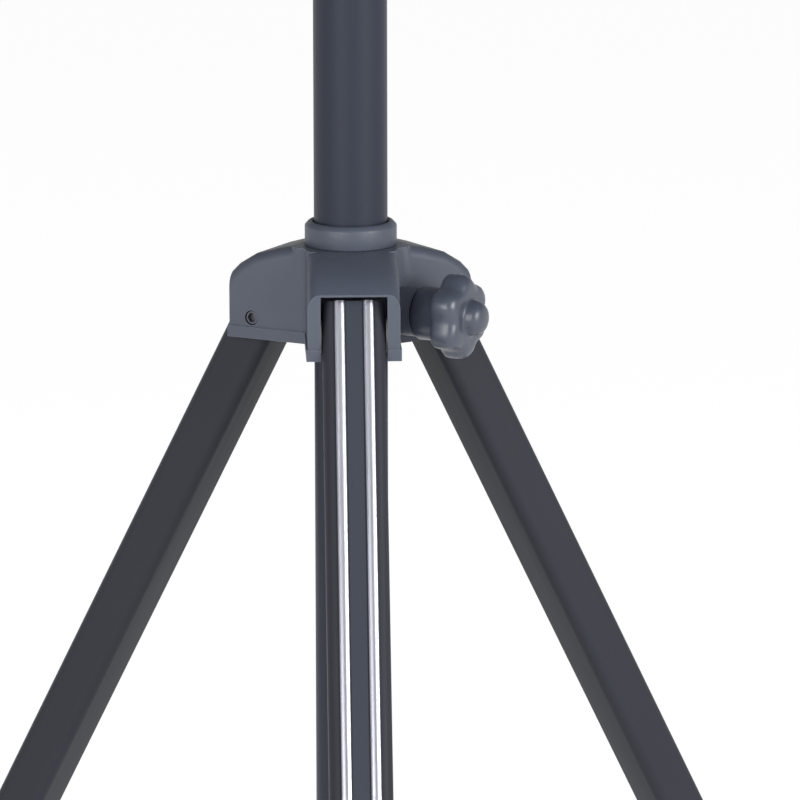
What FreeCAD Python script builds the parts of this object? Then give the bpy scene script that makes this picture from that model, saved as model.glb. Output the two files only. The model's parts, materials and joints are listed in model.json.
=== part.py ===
import FreeCAD, Part

import math
import os
import re

import Sketcher
from FreeCAD import Placement, Rotation, Vector

# Field tripod: a round centre column clamped in a three-armed hub, three folding
# telescopic legs and a swivelling V-shaped rest. Millimetres, +Z up. The origin is
# on the column's axis at floor level. The front leg points along -Y.

SHEET = "Sizes"
LEGS = {"front": -90.0, "right": 30.0, "left": 150.0}
KNOB_AZIMUTH = -30.0
ARM_COUNT = 3
LOBE_COUNT = 6

# Driving sizes. Lengths in millimetres, angles in degrees. A size given as words follows
# the sizes that it names.
SIZES = {
    # fits
    "running_gap": 0.05,
    "loose_gap": 0.4,
    "tube_gap": 0.5,
    # how far a cut runs past the material that it cuts, and the small bevel on turned ends
    "overrun": 1.0,
    "turned_edge": 1.0,
    # centre column
    "column_radius": 12.2,
    "column_wall": 1.5,
    "column_length": 440.0,
    "column_rise": 150.0,
    "cap_spigot": 15.0,
    # leg section
    "leg_splay": 28.05,
    "leg_shift": 1.4,
    "leg_width": 20.5,
    "leg_depth": 16.0,
    "leg_wall": 1.3,
    "leg_corner": 3.6,
    # hub casting
    "hub_height": 32.0,
    "core_wall": 5.2,
    "core_gap": 0.3,
    "slot_gap": 0.7,
    "cheek_thickness": 4.15,
    "slot_start": "column_radius + core_wall + core_gap",
    "slot_width": "leg_width + 2 * slot_gap",
    "arm_width": "max(slot_width + 2 * cheek_thickness;"
                 " 2 * (column_radius + core_wall) * sin(60 deg))",
    "pivot_offset": 17.2,
    "pivot_reach": "column_radius + pivot_offset",
    "pivot_height": 6.9,
    "arm_beyond_pivot": 8.4,
    "arm_reach": "pivot_reach + arm_beyond_pivot",
    "arm_end_height": 24.5,
    "arm_bevel": 2.6,
    "arm_shoulder": 3.8,
    "valley_reach": "arm_width / (2 * sin(60 deg))",
    "dome_start": "max(collar_radius; arm_width / 2)",
    "dome_near_inset": 17.3,
    "dome_valley_gap": 3.0,
    "dome_near_reach": "max(arm_reach - dome_near_inset; valley_reach + dome_valley_gap)",
    "dome_near_drop": 1.2,
    "dome_far_inset": 8.8,
    "dome_far_drop": 3.7,
    "arm_corner": 3.0,
    "roof_thickness": 3.2,
    "lip_height": 3.8,
    "lip_proud": 0.5,
    "pin_radius": 2.5,
    "pin_recess": 0.5,
    "washer_radius": 5.5,
    "washer_thickness": 0.4,
    # collar and bushing
    "collar_wall": 3.05,
    "collar_radius": "column_radius + collar_wall",
    "collar_height": 8.0,
    "collar_bevel": 1.5,
    "collar_depth": 8.0,
    "collar_spigot_wall": 2.1,
    "bushing_wall": 1.55,
    "bushing_lip": 2.2,
    "bushing_slit": 1.6,
    # clamp knob
    "knob_height": 11.1,
    "knob_radius": 14.1,
    "knob_thickness": 9.4,
    "knob_cap_radius": 5.6,
    "knob_cap_height": 5.2,
    "knob_cap_round": 3.6,
    "lobe_cut_radius": 4.4,
    "lobe_cut_reach": 16.4,
    "lobe_corner": 1.6,
    "knob_edge": 1.2,
    "knob_neck_radius": 8.8,
    "knob_neck_length": 9.0,
    "knob_hole_share": 0.7,
    "boss_radius": 8.0,
    "boss_beyond_column": 13.8,
    "boss_reach": "column_radius + boss_beyond_column",
    "boss_clearance": 0.6,
    "knob_start": "boss_reach + boss_clearance + knob_neck_length",
    "stud_radius": 3.0,
    "stud_clearance": 6.0,
    "stud_end": "column_radius + stud_clearance",
    "shoe_radius": 4.2,
    "shoe_length": 4.0,
    "shoe_travel": 2.0,
    "shoe_gap": 0.1,
    # leg lengths and ribs
    "leg_rise": 9.0,
    "leg_drop": 410.0,
    "rib_offset": 4.75,
    "rib_radius": 2.7,
    "rib_proud": 1.0,
    "head_drop": 14.0,
    "head_short": 0.6,
    # lower legs
    "lower_wall": 1.2,
    "lower_length": 380.0,
    "foot_drop": 606.0,
    "foot_sole": 6.0,
    "lower_drop": "foot_drop - foot_sole",
    "glide_length": 16.0,
    "glide_flange": 4.0,
    "glide_gap": 0.2,
    # flip locks
    "lock_overlap": 18.0,
    "lock_length": 40.0,
    "lock_wall": 3.25,
    "lock_cover": 4.0,
    "lock_width": "leg_width + 2 * lock_wall",
    "lock_depth": "leg_depth + 2 * lock_cover",
    "lock_shift": 0.6,
    "lock_corner": 4.5,
    "lever_radius": 4.2,
    "lever_out": 1.6,
    "lever_up": 9.5,
    "lever_length": 37.0,
    "lever_thickness": 3.4,
    "lever_flare": 3.0,
    "lever_tip": 9.0,
    "lever_under_tip": 7.0,
    "lever_tip_taper": 0.5,
    "ear_thickness": 2.9,
    "ear_reach": 6.2,
    "ear_height": 12.0,
    "ear_chamfer": 3.0,
    "ear_root": 6.0,
    "lever_pin_radius": 1.5,
    "pad_clearance": 5.5,
    "pad_width": "lock_width - 2 * pad_clearance",
    "window_gap": 0.5,
    # feet
    "foot_radius": 13.0,
    "foot_neck_radius": 11.4,
    "foot_height": 34.0,
    # rest
    "cap_flange": 4.0,
    "rest_stud_radius": 4.76,
    "rest_stud_length": 15.6,
    "rest_washer_thickness": 1.0,
    "rest_washer_inset": 1.0,
    "rest_depth": 22.0,
    "rest_floor": 16.0,
    "rest_height": 62.0,
    "rest_half_width": 33.0,
    "rest_base_radius": 11.5,
    "rest_arm": 5.6,
    "rest_lean": 3.0,
    "rest_flare": 17.0,
    "rest_flank": 0.38,
    "rest_edge": 1.2,
    "rest_floor_inset": 2.5,
    "rest_waist_out": 1.5,
    "rest_waist_drop": 6.0,
    "rest_knee_drop": 2.0,
    "rest_tip_drop": 4.0,
    "rest_tip_inset": 1.5,
    "liner_thickness": 2.4,
    "liner_drop": 6.0,
    "liner_inset": 1.5,
    "nut_radius": 8.2,
    "nut_height": 5.6,
    # lower column cap
    "end_cap_overhang": 2.3,
    "end_cap_radius": "column_radius + end_cap_overhang",
    "end_cap_thickness": 5.0,
    "thread_radius": 2.55,
    "thread_depth": 12.0,
}

NAME = re.compile(r"\b[a-z][a-z_]+\b")
TOUCH = 1e-4

doc = FreeCAD.newDocument("tripod_hunting_stand")
sheet = doc.addObject("Spreadsheet::Sheet", SHEET)
for line, (alias, value) in enumerate(SIZES.items(), start=1):
    sheet.set(f"A{line}", alias)
    sheet.set(f"B{line}", "=" + value if isinstance(value, str) else str(value))
    sheet.setAlias(f"B{line}", alias)
doc.recompute()


def formula(text):
    """Turn words in a size expression into references to the sheet."""
    return NAME.sub(lambda word: f"{SHEET}.{word.group()}", text)


def size(text):
    """The value, as a number, of an expression in the sheet's sizes."""
    return float(sheet.evalExpression(formula(text)))


# ---------------------------------------------------------------- modelling helpers

def new_body(label):
    """A body whose name and label are the piece's name."""
    body = doc.addObject("PartDesign::Body", label)
    body.Label = label
    return body


def datum(body, role):
    """One of the body's own planes or axes."""
    return next(feature for feature in body.Origin.OriginFeatures if feature.Role == role)


def new_sketch(body, role, lift=None, turn=None):
    """A sketch on one of the body's own planes, lifted along and turned on it."""
    sketch = body.newObject("Sketcher::SketchObject", body.Name + "_sketch")
    sketch.AttachmentSupport = [(datum(body, role), "")]
    sketch.MapMode = "FlatFace"
    if turn is not None:
        sketch.AttachmentOffset = Placement(Vector(), turn)
    if lift is not None:
        sketch.setExpression("AttachmentOffset.Base.z", formula(lift))
    return sketch


def fix(sketch, kind, geometry, point, text):
    """Fix one coordinate of a sketch point from the sketch's origin."""
    index = sketch.addConstraint(
        Sketcher.Constraint(kind, -1, 1, geometry, point, size(text)))
    sketch.setExpression(f"Constraints[{index}]", formula(text))


def outline(sketch, points):
    """A closed outline of straight lines through points given as size expressions."""
    corners = [Vector(size(x), size(y), 0) for x, y in points]
    count = len(corners)
    first = sketch.GeometryCount
    for index in range(count):
        line = Part.LineSegment(corners[index], corners[(index + 1) % count])
        sketch.addGeometry(line, False)
    for index, (x, y) in enumerate(points):
        following = first + (index + 1) % count
        sketch.addConstraint(Sketcher.Constraint("Coincident", first + index, 2, following, 1))
        fix(sketch, "DistanceX", first + index, 1, x)
        fix(sketch, "DistanceY", first + index, 1, y)
    return sketch


def circle(sketch, x, y, radius):
    """A circle fixed by its centre and radius."""
    centre = Vector(size(x), size(y), 0)
    index = sketch.addGeometry(Part.Circle(centre, Vector(0, 0, 1), size(radius)), False)
    fix(sketch, "DistanceX", index, 3, x)
    fix(sketch, "DistanceY", index, 3, y)
    rule = sketch.addConstraint(Sketcher.Constraint("Radius", index, size(radius)))
    sketch.setExpression(f"Constraints[{rule}]", formula(radius))
    return sketch


def rounded_rectangle(sketch, depth, width, corner, shift="0"):
    """A rounded rectangle, depth along x and width along y, its centre shifted along x."""
    low_x, high_x = f"{shift} - ({depth}) / 2", f"{shift} + ({depth}) / 2"
    low_y, high_y = f"-({width}) / 2", f"({width}) / 2"
    left, right, bottom, top = (size(text) for text in (low_x, high_x, low_y, high_y))
    radius = size(corner)
    normal = Vector(0, 0, 1)
    first = sketch.GeometryCount
    sides = [
        (Vector(left + radius, bottom, 0), Vector(right - radius, bottom, 0)),
        (Vector(right, bottom + radius, 0), Vector(right, top - radius, 0)),
        (Vector(right - radius, top, 0), Vector(left + radius, top, 0)),
        (Vector(left, top - radius, 0), Vector(left, bottom + radius, 0)),
    ]
    centres = [
        Vector(right - radius, bottom + radius, 0),
        Vector(right - radius, top - radius, 0),
        Vector(left + radius, top - radius, 0),
        Vector(left + radius, bottom + radius, 0),
    ]
    for (start, end), centre, quarter in zip(sides, centres, (-1, 0, 1, 2)):
        sketch.addGeometry(Part.LineSegment(start, end), False)
        arc = Part.ArcOfCircle(Part.Circle(centre, normal, radius),
                               quarter * math.pi / 2, (quarter + 1) * math.pi / 2)
        sketch.addGeometry(arc, False)
    for index in range(8):
        following = first + (index + 1) % 8
        sketch.addConstraint(Sketcher.Constraint("Tangent", first + index, 2, following, 1))
    for index in (0, 4):
        sketch.addConstraint(Sketcher.Constraint("Horizontal", first + index))
        sketch.addConstraint(Sketcher.Constraint("Vertical", first + index + 2))
    for index in (3, 5, 7):
        sketch.addConstraint(Sketcher.Constraint("Equal", first + 1, first + index))
    rule = sketch.addConstraint(Sketcher.Constraint("Radius", first + 1, radius))
    sketch.setExpression(f"Constraints[{rule}]", formula(corner))
    fix(sketch, "DistanceY", first, 1, low_y)
    fix(sketch, "DistanceX", first + 2, 1, high_x)
    fix(sketch, "DistanceY", first + 4, 1, high_y)
    fix(sketch, "DistanceX", first + 6, 1, low_x)
    return sketch


def sweep_feature(kind, sketch, length, both=False, reverse=False):
    """A Pad or Pocket of a sketch."""
    body = sketch.getParentGeoFeatureGroup()
    before = body.Tip
    feature = body.newObject("PartDesign::" + kind, body.Name + "_" + kind.lower())
    feature.Profile = sketch
    feature.Midplane = both
    feature.Reversed = reverse
    feature.setExpression("Length", formula(length))
    return settle(body, feature, before)


def pad(sketch, length, **options):
    """Push a sketch out to a length."""
    return sweep_feature("Pad", sketch, length, **options)


def pocket(sketch, length, **options):
    """Cut a sketch in to a length."""
    return sweep_feature("Pocket", sketch, length, **options)


def turned(sketch, kind="Revolution"):
    """A Revolution or Groove of a sketch about its own vertical axis."""
    body = sketch.getParentGeoFeatureGroup()
    before = body.Tip
    feature = body.newObject("PartDesign::" + kind, body.Name + "_" + kind.lower())
    feature.Profile = sketch
    feature.ReferenceAxis = (sketch, ["V_Axis"])
    feature.Angle = 360
    return settle(body, feature, before)


def around(features, count):
    """Repeat features around the body's Z axis."""
    body = features[0].getParentGeoFeatureGroup()
    before = body.Tip
    pattern = body.newObject("PartDesign::PolarPattern", body.Name + "_pattern")
    pattern.Originals = features
    pattern.Axis = (datum(body, "Z_Axis"), [""])
    pattern.Angle = 360
    pattern.Occurrences = count
    return settle(body, pattern, before)


def rounded(body, radius, chosen, kind="Fillet"):
    """Fillet or chamfer the edges of the body's tip that the test picks."""
    before = body.Tip
    edges = [f"Edge{number}" for number, edge in enumerate(before.Shape.Edges, start=1)
             if chosen(edge)]
    if not edges:
        raise RuntimeError(f"{body.Label}: no edge to round")
    feature = body.newObject("PartDesign::" + kind, body.Name + "_" + kind.lower())
    feature.Base = (before, edges)
    feature.setExpression("Radius" if kind == "Fillet" else "Size", formula(radius))
    return settle(body, feature, before)


def settle(body, feature, before):
    """Make a feature the tip, recompute it and check that it added or cut material."""
    body.Tip = feature
    doc.recompute()
    if "Up-to-date" not in feature.State or feature.Shape.isNull():
        raise RuntimeError(f"{feature.Label} failed: {feature.State}")
    if before is not None and abs(feature.Shape.Volume - before.Shape.Volume) < TOUCH:
        raise RuntimeError(f"{feature.Label} changed nothing")
    return feature


def span(edge):
    """An edge's two end points."""
    return edge.valueAt(edge.FirstParameter), edge.valueAt(edge.LastParameter)


def near(first, second):
    """Whether two lengths are the same to the modelling tolerance."""
    return abs(first - second) < TOUCH


# ---------------------------------------------------------------- frame of the stand

LEG_AXIS_ANGLE = math.radians(size("leg_splay"))
PIVOT_Z = (size("foot_drop") * math.cos(LEG_AXIS_ANGLE) + size("foot_radius")
           - size("leg_shift") * math.sin(LEG_AXIS_ANGLE))
HUB_Z = PIVOT_Z - size("pivot_height")
COLLAR_TOP_Z = HUB_Z + size("hub_height + collar_height")
COLUMN_TOP_Z = COLLAR_TOP_Z + size("column_rise")
COLUMN_FOOT_Z = COLUMN_TOP_Z - size("column_length")
REST_Z = COLUMN_TOP_Z + size("cap_flange + rest_washer_thickness + running_gap")


def on_column(z):
    """A place on the column's axis."""
    return Placement(Vector(0, 0, z), Rotation())


def on_leg(azimuth):
    """A leg's frame: +X outward, +Y across, +Z up its middle line, level with the pivot."""
    turn = Rotation(Vector(0, 0, 1), azimuth)
    tilt = Rotation(Vector(0, 1, 0), -size("leg_splay"))
    pivot = turn.multVec(Vector(size("pivot_reach"), 0, 0)) + Vector(0, 0, PIVOT_Z)
    return Placement(pivot, turn * tilt) * Placement(Vector(size("leg_shift"), 0, 0), Rotation())


def on_knob():
    """The clamp screw's frame: +Z points outward along the screw, one lobe stands up."""
    turn = Rotation(Vector(0, 0, 1), KNOB_AZIMUTH)
    lay = Rotation(Vector(0, 1, 0), 90)
    lobe_up = Rotation(Vector(0, 0, 1), 180 / LOBE_COUNT)
    return Placement(Vector(0, 0, HUB_Z + size("knob_height")), turn * lay * lobe_up)


# ---------------------------------------------------------------- hub and column

def make_hub():
    """Three forked arms around a core with the column's bore and the clamp boss."""
    body = new_body("hub")
    side = outline(new_sketch(body, "XZ_Plane"), [
        ("0", "0"),
        ("arm_reach", "0"),
        ("arm_reach", "arm_end_height - arm_bevel"),
        ("arm_reach - arm_bevel", "arm_end_height"),
        ("arm_reach - dome_far_inset", "hub_height - dome_far_drop"),
        ("dome_near_reach", "hub_height - dome_near_drop"),
        ("dome_start", "hub_height"),
        ("0", "hub_height"),
    ])
    arm = pad(side, "arm_width", both=True)
    around([arm], ARM_COUNT)

    end_low = size("arm_end_height - arm_bevel")
    valley = size("valley_reach")

    def is_valley(edge):
        start, end = span(edge)
        upright = near(start.x, end.x) and near(start.y, end.y)
        return upright and near(math.hypot(start.x, start.y), valley)

    def is_shoulder(edge):
        start, end = span(edge)
        high = min(start.z, end.z) > end_low - TOUCH and not near(start.z, end.z)
        return high and not is_valley(edge)

    rounded(body, "arm_corner", is_valley)
    rounded(body, "arm_shoulder", is_shoulder)

    edge_band = outline(new_sketch(body, "XZ_Plane"), [
        ("0", "0"),
        ("arm_reach + lip_proud", "0"),
        ("arm_reach + lip_proud", "lip_height"),
        ("0", "lip_height"),
    ])
    band = pad(edge_band, "arm_width + 2 * lip_proud", both=True)
    around([band], ARM_COUNT)

    boss_side = Rotation(Vector(0, 1, 0), KNOB_AZIMUTH - LEGS["right"])
    pad(circle(new_sketch(body, "YZ_Plane", turn=boss_side), "0", "knob_height", "boss_radius"),
        "boss_reach")

    slope = "(hub_height - arm_end_height) / (arm_reach - arm_bevel - collar_radius)"
    slot = outline(new_sketch(body, "XZ_Plane"), [
        ("slot_start", "-overrun"),
        ("arm_reach + lip_proud + overrun", "-overrun"),
        ("arm_reach + lip_proud + overrun", "arm_end_height - roof_thickness"),
        ("arm_reach - arm_bevel", "arm_end_height - roof_thickness"),
        ("slot_start", "arm_end_height - roof_thickness"
                       f" + (arm_reach - arm_bevel - slot_start) * {slope}"),
    ])
    around([pocket(slot, "slot_width", both=True)], ARM_COUNT)

    pins = circle(new_sketch(body, "XZ_Plane"), "pivot_reach", "pivot_height", "pin_radius")
    around([pocket(pins, "arm_width + 2 * overrun", both=True)], ARM_COUNT)

    bore = outline(new_sketch(body, "XZ_Plane"), [
        ("0", "-overrun"),
        ("column_radius + loose_gap", "-overrun"),
        ("column_radius + loose_gap", "bushing_lip"),
        ("column_radius + 2 * running_gap + bushing_wall", "bushing_lip"),
        ("column_radius + 2 * running_gap + bushing_wall", "hub_height - collar_depth"),
        ("column_radius + loose_gap + collar_spigot_wall", "hub_height - collar_depth"),
        ("column_radius + loose_gap + collar_spigot_wall", "hub_height + overrun"),
        ("0", "hub_height + overrun"),
    ])
    turned(bore, "Groove")

    hole = circle(new_sketch(body, "YZ_Plane", turn=boss_side), "0", "knob_height",
                  "stud_radius + running_gap")
    pocket(hole, "boss_reach + overrun", reverse=True)
    shoe_bore = circle(new_sketch(body, "YZ_Plane", turn=boss_side), "0", "knob_height",
                       "shoe_radius + loose_gap")
    pocket(shoe_bore, "stud_end + shoe_travel + loose_gap", reverse=True)
    body.Placement = Placement(Vector(0, 0, HUB_Z), Rotation(Vector(0, 0, 1), LEGS["right"]))
    return body


def make_collar():
    """The ring that screws into the hub's top and keeps the bushing in."""
    body = new_body("column_collar")
    inner = "column_radius + loose_gap"
    spigot = "column_radius + loose_gap + collar_spigot_wall - running_gap"
    turned(outline(new_sketch(body, "XZ_Plane"), [
        (inner, "-collar_depth"),
        (spigot, "-collar_depth"),
        (spigot, "0"),
        ("collar_radius", "0"),
        ("collar_radius", "collar_height - collar_bevel"),
        ("collar_radius - collar_bevel", "collar_height"),
        (inner, "collar_height"),
    ]))
    body.Placement = on_column(HUB_Z + size("hub_height"))
    return body


def make_bushing():
    """The split sleeve between the hub and the column."""
    body = new_body("column_bushing")
    top = "hub_height - collar_depth - 2 * running_gap"
    turned(outline(new_sketch(body, "XZ_Plane"), [
        ("column_radius + running_gap", "bushing_lip + running_gap"),
        ("column_radius + running_gap + bushing_wall", "bushing_lip + running_gap"),
        ("column_radius + running_gap + bushing_wall", top),
        ("column_radius + running_gap", top),
    ]))
    outside = "column_radius + bushing_wall + overrun"
    slit = outline(new_sketch(body, "XZ_Plane"), [
        ("0", "-overrun"),
        (outside, "-overrun"),
        (outside, "hub_height"),
        ("0", "hub_height"),
    ])
    pocket(slit, "bushing_slit", both=True)
    body.Placement = Placement(Vector(0, 0, HUB_Z), Rotation(Vector(0, 0, 1), LEGS["left"]))
    return body


def make_column():
    """The round tube."""
    body = new_body("column_tube")
    ring = circle(new_sketch(body, "XY_Plane"), "0", "0", "column_radius")
    circle(ring, "0", "0", "column_radius - column_wall")
    pad(ring, "column_length")
    body.Placement = on_column(COLUMN_FOOT_Z)
    return body


def make_end_cap():
    """Plug and stop at the column's lower end, with a threaded accessory hole."""
    body = new_body("column_end_cap")
    spigot = "column_radius - column_wall - running_gap"
    turned(outline(new_sketch(body, "XZ_Plane"), [
        ("thread_radius", "-end_cap_thickness"),
        ("end_cap_radius - turned_edge", "-end_cap_thickness"),
        ("end_cap_radius", "turned_edge - end_cap_thickness"),
        ("end_cap_radius", "-turned_edge"),
        ("end_cap_radius - turned_edge", "0"),
        (spigot, "0"),
        (spigot, "cap_spigot"),
        ("0", "cap_spigot"),
        ("0", "thread_depth - end_cap_thickness"),
        ("thread_radius", "thread_depth - end_cap_thickness"),
    ]))
    body.Placement = on_column(COLUMN_FOOT_Z)
    return body


def make_top_cap():
    """Plug in the column's top with the rest's stud."""
    body = new_body("column_top_cap")
    spigot = "column_radius - column_wall - running_gap"
    turned(outline(new_sketch(body, "XZ_Plane"), [
        ("0", "-cap_spigot"),
        (spigot, "-cap_spigot"),
        (spigot, "0"),
        ("column_radius", "0"),
        ("column_radius", "cap_flange - turned_edge"),
        ("column_radius - turned_edge", "cap_flange"),
        ("rest_stud_radius", "cap_flange"),
        ("rest_stud_radius", "cap_flange + rest_stud_length - turned_edge"),
        ("rest_stud_radius - turned_edge", "cap_flange + rest_stud_length"),
        ("0", "cap_flange + rest_stud_length"),
    ]))
    body.Placement = on_column(COLUMN_TOP_Z)
    return body


# ---------------------------------------------------------------- rest on the column

def make_rest_washer():
    """Thin washer that the rest turns on."""
    body = new_body("rest_washer")
    ring = circle(new_sketch(body, "XY_Plane"), "0", "0", "rest_base_radius - rest_washer_inset")
    circle(ring, "0", "0", "rest_stud_radius")
    pad(ring, "rest_washer_thickness")
    body.Placement = on_column(COLUMN_TOP_Z + size("cap_flange"))
    return body


def make_rest_nut():
    """Thin nut, sunk in the rest's floor, that keeps the rest on its stud."""
    body = new_body("rest_nut")
    hexagon = [(f"nut_radius * {math.cos(k * math.pi / 3):.6f}",
                f"nut_radius * {math.sin(k * math.pi / 3):.6f}") for k in range(6)]
    shape = outline(new_sketch(body, "XY_Plane"), hexagon)
    circle(shape, "0", "0", "rest_stud_radius")
    pad(shape, "nut_height")
    body.Placement = on_column(REST_Z + size("rest_floor - nut_height - loose_gap"))
    return body


def rest_inside(offset):
    """Lower points of the rest's inner outline, moved in from the wall by an offset."""
    return [
        (f"rest_base_radius - rest_floor_inset - ({offset}) * rest_flank", f"rest_floor + {offset}"),
        (f"rest_half_width - rest_arm - rest_lean - ({offset})",
         f"rest_floor + rest_flare + ({offset}) * rest_flank"),
    ]


def mirrored(half):
    """A closed outline from its right half, listed upward from the centre line."""
    return half + [(f"-({x})", y) for x, y in reversed(half)]


def make_rest_yoke():
    """The forked V that carries a fore-end, bored to turn on the cap's stud."""
    body = new_body("rest_yoke")
    half = [
        ("rest_base_radius", "0"),
        ("rest_base_radius + rest_waist_out", "rest_floor - rest_waist_drop"),
        ("rest_half_width - rest_lean", "rest_floor + rest_flare - rest_knee_drop"),
        ("rest_half_width", "rest_height - rest_tip_drop"),
        ("rest_half_width - rest_tip_inset", "rest_height"),
        ("rest_half_width - rest_arm", "rest_height"),
    ] + list(reversed(rest_inside("0")))
    pad(outline(new_sketch(body, "XZ_Plane"), mirrored(half)), "rest_depth", both=True)
    half_depth = size("rest_depth / 2")

    def is_face_rim(edge):
        start, end = span(edge)
        return near(abs(start.y), half_depth) and near(start.y, end.y)

    rounded(body, "rest_edge", is_face_rim)
    turned(outline(new_sketch(body, "XZ_Plane"), [
        ("0", "-overrun"),
        ("rest_stud_radius + running_gap", "-overrun"),
        ("rest_stud_radius + running_gap", "rest_floor - nut_height - 2 * loose_gap"),
        ("nut_radius + loose_gap", "rest_floor - nut_height - 2 * loose_gap"),
        ("nut_radius + loose_gap", "rest_floor + overrun"),
        ("0", "rest_floor + overrun"),
    ]), "Groove")
    body.Placement = on_column(REST_Z)
    return body


def make_rest_liner():
    """The rubber strip bonded inside the V."""
    body = new_body("rest_liner")
    wall = ("rest_half_width - rest_arm - rest_lean * liner_drop"
            " / (rest_height - rest_floor - rest_flare)")
    top = "rest_height - liner_drop"
    low, mid = rest_inside("0")
    low_in, mid_in = rest_inside("liner_thickness")
    half = [low, mid, (wall, top), (f"{wall} - liner_thickness", top), mid_in, low_in]
    pad(outline(new_sketch(body, "XZ_Plane"), mirrored(half)), "rest_depth - 2 * liner_inset",
        both=True)
    body.Placement = on_column(REST_Z)
    return body


# ---------------------------------------------------------------- clamp screw

def make_knob():
    """Six-lobed knob with a short neck towards the hub and a domed cap."""
    body = new_body("clamp_knob")
    neck = circle(new_sketch(body, "XY_Plane", lift="knob_start - knob_neck_length"),
                  "0", "0", "knob_neck_radius")
    pad(neck, "knob_neck_length")
    disc = circle(new_sketch(body, "XY_Plane", lift="knob_start"), "0", "0", "knob_radius")
    pad(disc, "knob_thickness")
    scallop = circle(new_sketch(body, "XY_Plane", lift="knob_start - overrun"),
                     "lobe_cut_reach", "0", "lobe_cut_radius")
    around([pocket(scallop, "knob_thickness + 2 * overrun", reverse=True)], LOBE_COUNT)
    low = size("knob_start")
    high = size("knob_start + knob_thickness")

    def is_corner(edge):
        start, end = span(edge)
        return near(start.x, end.x) and near(start.y, end.y) and not near(start.z, end.z)

    def is_rim(edge):
        start, end = span(edge)
        wide = math.hypot(start.x, start.y) > size("(knob_neck_radius + knob_radius) / 2")
        flat = near(start.z, end.z) and (near(start.z, low) or near(start.z, high))
        return flat and wide

    rounded(body, "lobe_corner", is_corner)
    rounded(body, "knob_edge", is_rim)
    cap = circle(new_sketch(body, "XY_Plane", lift="knob_start + knob_thickness"),
                 "0", "0", "knob_cap_radius")
    pad(cap, "knob_cap_height")
    crown = size("knob_start + knob_thickness + knob_cap_height")

    def is_crown(edge):
        start, end = span(edge)
        return near(start.z, crown) and near(end.z, crown)

    rounded(body, "knob_cap_round", is_crown)
    hole = circle(new_sketch(body, "XY_Plane", lift="knob_start - knob_neck_length"),
                  "0", "0", "stud_radius")
    pocket(hole, "knob_thickness * knob_hole_share + knob_neck_length", reverse=True)
    body.Placement = on_knob()
    return body


def make_stud():
    """The clamp screw's rod."""
    body = new_body("clamp_stud")
    rod = circle(new_sketch(body, "XY_Plane", lift="stud_end"), "0", "0", "stud_radius")
    pad(rod, "knob_start + knob_thickness * knob_hole_share - stud_end")
    body.Placement = on_knob()
    return body


def make_shoe():
    """Disc on the screw's end that presses on the bushing."""
    body = new_body("clamp_shoe")
    disc = circle(new_sketch(body, "XY_Plane", lift="stud_end - shoe_gap - shoe_length"),
                  "0", "0", "shoe_radius")
    pad(disc, "shoe_length")
    body.Placement = on_knob()
    return body


# ---------------------------------------------------------------- leg pieces

LOWER_WIDTH = "leg_width - 2 * leg_wall - 2 * tube_gap"
LOWER_DEPTH = "leg_depth - 2 * leg_wall - 2 * tube_gap"
LOWER_CORNER = "leg_corner - leg_wall - tube_gap"
LOCK_TOP = "lock_overlap - leg_drop"
LOCK_BOTTOM = "lock_overlap - leg_drop - lock_length"
LOCK_FACE = "lock_shift + lock_depth / 2"
LEVER_X = "lock_shift + lock_depth / 2 + lever_out"
LEVER_Z = "lock_overlap - leg_drop - lock_length + lever_up"
PAD_INNER = "leg_depth / 2 - leg_wall - tube_gap + loose_gap"


def make_upper_leg(name, place):
    """Hollow extrusion with two raised ribs on its outer face, bored for the pivot."""
    body = new_body("upper_leg_" + name)
    section = new_sketch(body, "XY_Plane", lift="-leg_drop")
    rounded_rectangle(section, "leg_depth", "leg_width", "leg_corner")
    pad(section, "leg_drop + leg_rise")
    ribs = new_sketch(body, "XY_Plane", lift="-leg_drop")
    for across in ("rib_offset", "-rib_offset"):
        circle(ribs, "leg_depth / 2 + rib_proud - rib_radius", across, "rib_radius")
    pad(ribs, "leg_drop + leg_rise")
    hollow = new_sketch(body, "XY_Plane", lift="-leg_drop")
    rounded_rectangle(hollow, "leg_depth - 2 * leg_wall", "leg_width - 2 * leg_wall",
                      "leg_corner - leg_wall")
    pocket(hollow, "leg_drop + leg_rise", reverse=True)
    hole = circle(new_sketch(body, "XZ_Plane"), "-leg_shift", "0", "pin_radius + loose_gap")
    pocket(hole, "leg_width + 2 * overrun", both=True)
    body.Placement = place
    return body


def make_leg_head(name, place):
    """Plug in the leg's top that turns on the pivot pin."""
    body = new_body("leg_head_" + name)
    section = new_sketch(body, "XY_Plane", lift="-head_drop")
    rounded_rectangle(section, "leg_depth - 2 * leg_wall - 2 * running_gap",
                      "leg_width - 2 * leg_wall - 2 * running_gap",
                      "leg_corner - leg_wall - running_gap")
    pad(section, "head_drop + leg_rise - head_short")
    hole = circle(new_sketch(body, "XZ_Plane"), "-leg_shift", "0", "pin_radius + running_gap")
    pocket(hole, "leg_width + 2 * overrun", both=True)
    body.Placement = place
    return body


def make_pivot_pin(name, place):
    """Pin through both cheeks and the leg's head."""
    body = new_body("pivot_pin_" + name)
    rod = circle(new_sketch(body, "XZ_Plane"), "-leg_shift", "0", "pin_radius")
    pad(rod, "arm_width - 2 * pin_recess", both=True)
    body.Placement = place
    return body


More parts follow.
